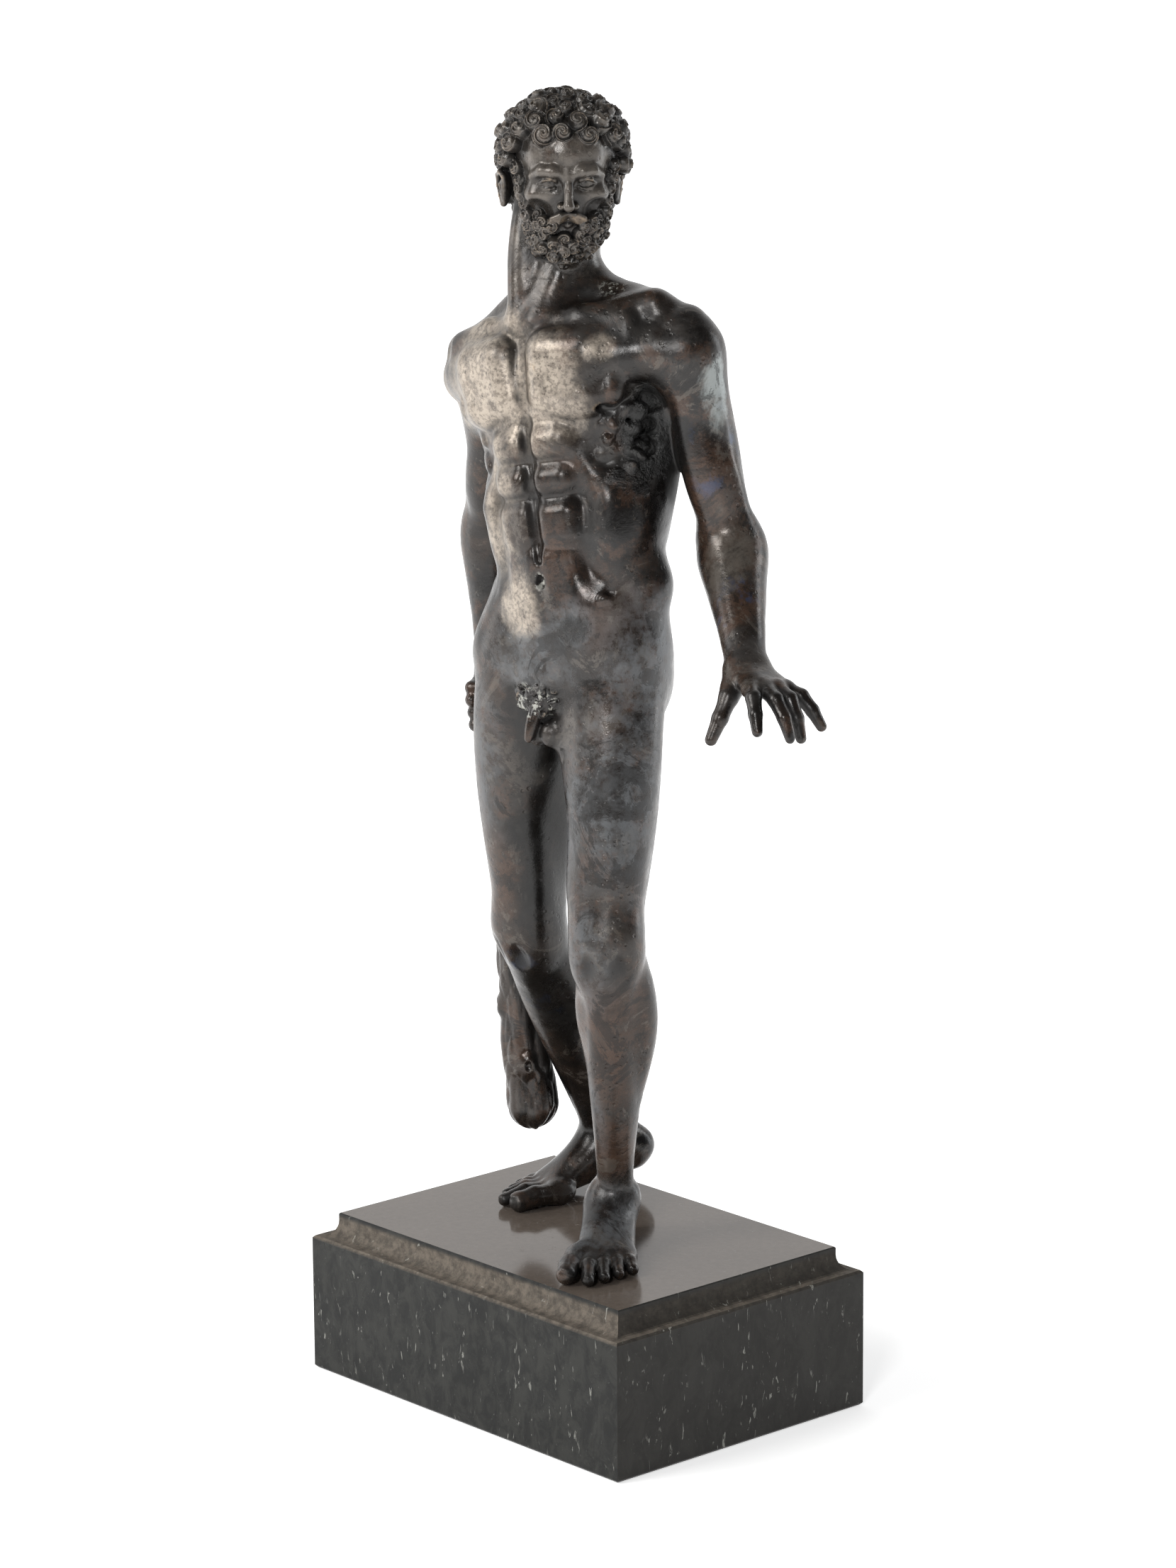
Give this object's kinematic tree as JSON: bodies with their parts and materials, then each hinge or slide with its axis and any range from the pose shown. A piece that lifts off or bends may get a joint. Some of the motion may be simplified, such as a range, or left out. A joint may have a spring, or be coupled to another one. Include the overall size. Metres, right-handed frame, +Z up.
{
  "type": "statuette",
  "caption": "Bronze statuette of a standing bearded nude man with a club, one hand held out, on a moulded stone plinth.",
  "frame": {"origin": "middle of the plinth's underside", "axes": "+Z up, +X to the figure's left along the plinth's long side, -Y to the front, where the chest faces"},
  "size_m": [0.1721, 0.1, 0.3971],
  "materials": {
    "bronze": "dark brown patinated bronze, satin, rubbed lighter on the chest and belly",
    "stone": "near-black stone, polished top, satin sides, dusty moulding"
  },
  "bodies": {
    "root": {"figure": "bronze", "plinth": "stone"}
  },
  "joints": []
}
